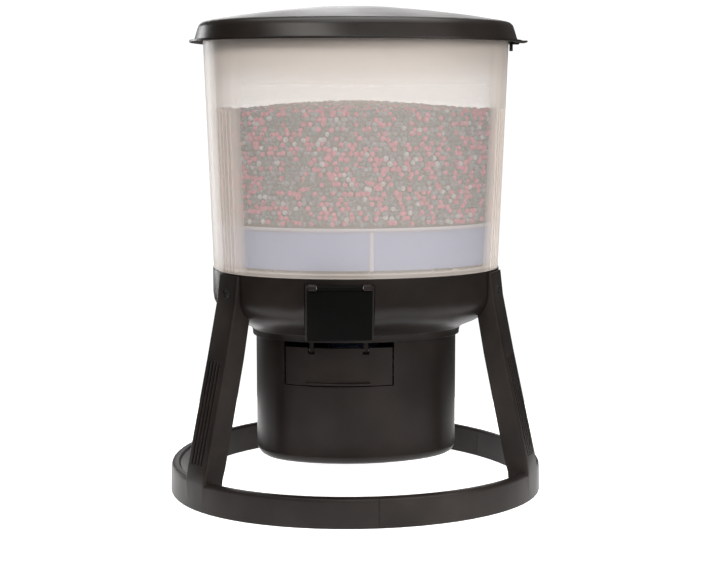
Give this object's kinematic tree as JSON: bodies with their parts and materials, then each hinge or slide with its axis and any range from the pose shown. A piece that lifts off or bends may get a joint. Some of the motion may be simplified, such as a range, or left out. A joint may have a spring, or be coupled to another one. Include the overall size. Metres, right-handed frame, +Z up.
{
  "type": "automatic pellet feeder",
  "caption": "Free-standing pellet feeder: lidded translucent hopper feeds by gravity into a black drum with a motor-driven spreader and hinged outlet flap, on a three-legged ring stand.",
  "frame": {"origin": "on the ground, at the centre of the stand ring's footprint", "axes": "+Z up, -Y is the front with the control window and outlet flap, +X is the side of the lid's finger tab"},
  "size_m": [0.384, 0.384, 0.495],
  "materials": {
    "bowl_housing": "satin",
    "drum_housing": "satin",
    "lid": "satin",
    "lid_seal": "foam",
    "hopper": "translucent, lightly frosted",
    "feed_funnel": "translucent",
    "feed_pellets": "dry feed pellets, two colours",
    "outlet_flap": "satin",
    "flap_hinge_pin": "zinc plated",
    "spreader_disc": "satin",
    "agitator": "satin",
    "drive_shaft": "zinc plated",
    "gear_motor": "zinc plated",
    "chassis_plate": "satin",
    "battery_cradle": "satin",
    "contact_plate": "circuit laminate",
    "battery_hatch": "satin",
    "control_bezel": "satin",
    "window_cover": "dark smoked",
    "cover_hinge_pin": "zinc plated",
    "display_module": "display",
    "control_board": "circuit laminate",
    "button_set": "matte",
    "button_down": "matte",
    "button_up": "matte",
    "battery_cell_45": "printed sleeve, plain",
    "battery_cell_135": "printed sleeve, plain",
    "battery_cell_225": "printed sleeve, plain",
    "battery_cell_315": "printed sleeve, plain",
    "chassis_screw_0": "zinc plated",
    "chassis_screw_120": "zinc plated",
    "chassis_screw_240": "zinc plated",
    "hatch_screw_120": "zinc plated",
    "hatch_screw_300": "zinc plated",
    "hopper_screw_0": "zinc plated",
    "hopper_screw_1": "zinc plated",
    "hopper_screw_2": "zinc plated",
    "housing_screw_0": "zinc plated",
    "housing_screw_1": "zinc plated",
    "housing_screw_2": "zinc plated",
    "leg_screw_0": "zinc plated",
    "leg_screw_1": "zinc plated",
    "leg_screw_2": "zinc plated",
    "ring_joint_pin_0": "zinc plated",
    "ring_joint_pin_1": "zinc plated",
    "ring_joint_pin_2": "zinc plated",
    "stand_segment_0": "satin",
    "stand_segment_1": "satin",
    "stand_segment_2": "satin"
  },
  "bodies": {
    "housing": {"bowl_housing": "bowl_housing", "drum_housing": "drum_housing", "hopper": "hopper", "feed_funnel": "feed_funnel", "feed_pellets": "feed_pellets", "flap_hinge_pin": "flap_hinge_pin", "gear_motor": "gear_motor", "chassis_plate": "chassis_plate", "battery_cradle": "battery_cradle", "contact_plate": "contact_plate", "battery_hatch": "battery_hatch", "control_bezel": "control_bezel", "cover_hinge_pin": "cover_hinge_pin", "display_module": "display_module", "control_board": "control_board", "battery_cell_45": "battery_cell_45", "battery_cell_135": "battery_cell_135", "battery_cell_225": "battery_cell_225", "battery_cell_315": "battery_cell_315", "chassis_screw_0": "chassis_screw_0", "chassis_screw_120": "chassis_screw_120", "chassis_screw_240": "chassis_screw_240", "hatch_screw_120": "hatch_screw_120", "hatch_screw_300": "hatch_screw_300", "hopper_screw_0": "hopper_screw_0", "hopper_screw_1": "hopper_screw_1", "hopper_screw_2": "hopper_screw_2", "housing_screw_0": "housing_screw_0", "housing_screw_1": "housing_screw_1", "housing_screw_2": "housing_screw_2", "leg_screw_0": "leg_screw_0", "leg_screw_1": "leg_screw_1", "leg_screw_2": "leg_screw_2", "ring_joint_pin_0": "ring_joint_pin_0", "ring_joint_pin_1": "ring_joint_pin_1", "ring_joint_pin_2": "ring_joint_pin_2", "stand_segment_0": "stand_segment_0", "stand_segment_1": "stand_segment_1", "stand_segment_2": "stand_segment_2"},
    "lid": {"lid": "lid", "lid_seal": "lid_seal"},
    "rotor": {"drive_shaft": "drive_shaft", "spreader_disc": "spreader_disc", "agitator": "agitator"},
    "flap": {"outlet_flap": "outlet_flap"},
    "cover": {"window_cover": "window_cover"},
    "key_set": {"button_set": "button_set"},
    "key_down": {"button_down": "button_down"},
    "key_up": {"button_up": "button_up"}
  },
  "joints": [
    {"name": "lid_lift", "type": "slide", "parent": "housing", "child": "lid", "axis": [0, 0, 1], "range_m": [0, 0.12]},
    {"name": "rotor_spin", "type": "hinge", "parent": "housing", "child": "rotor", "pos_m": [0, -0.0055, 0.12], "axis": [0, 0, 1], "continuous": true},
    {"name": "flap_hinge", "type": "hinge", "parent": "housing", "child": "flap", "pos_m": [-0.02569, -0.09073, 0.154], "axis": [-0.9848, 0.1736, 0], "range_deg": [0, 50]},
    {"name": "cover_hinge", "type": "hinge", "parent": "housing", "child": "cover", "pos_m": [-0.03174, -0.1495, 0.2237], "axis": [-0.9962, 0.0872, 0], "range_deg": [0, 100]},
    {"name": "key_set_press", "type": "slide", "parent": "housing", "child": "key_set", "axis": [0.0853, 0.9744, 0.2079], "range_m": [0, 0.0015], "stiffness_N_per_m": 400},
    {"name": "key_down_press", "type": "slide", "parent": "housing", "child": "key_down", "axis": [0.0853, 0.9744, 0.2079], "range_m": [0, 0.0015], "stiffness_N_per_m": 400},
    {"name": "key_up_press", "type": "slide", "parent": "housing", "child": "key_up", "axis": [0.0853, 0.9744, 0.2079], "range_m": [0, 0.0015], "stiffness_N_per_m": 400}
  ]
}
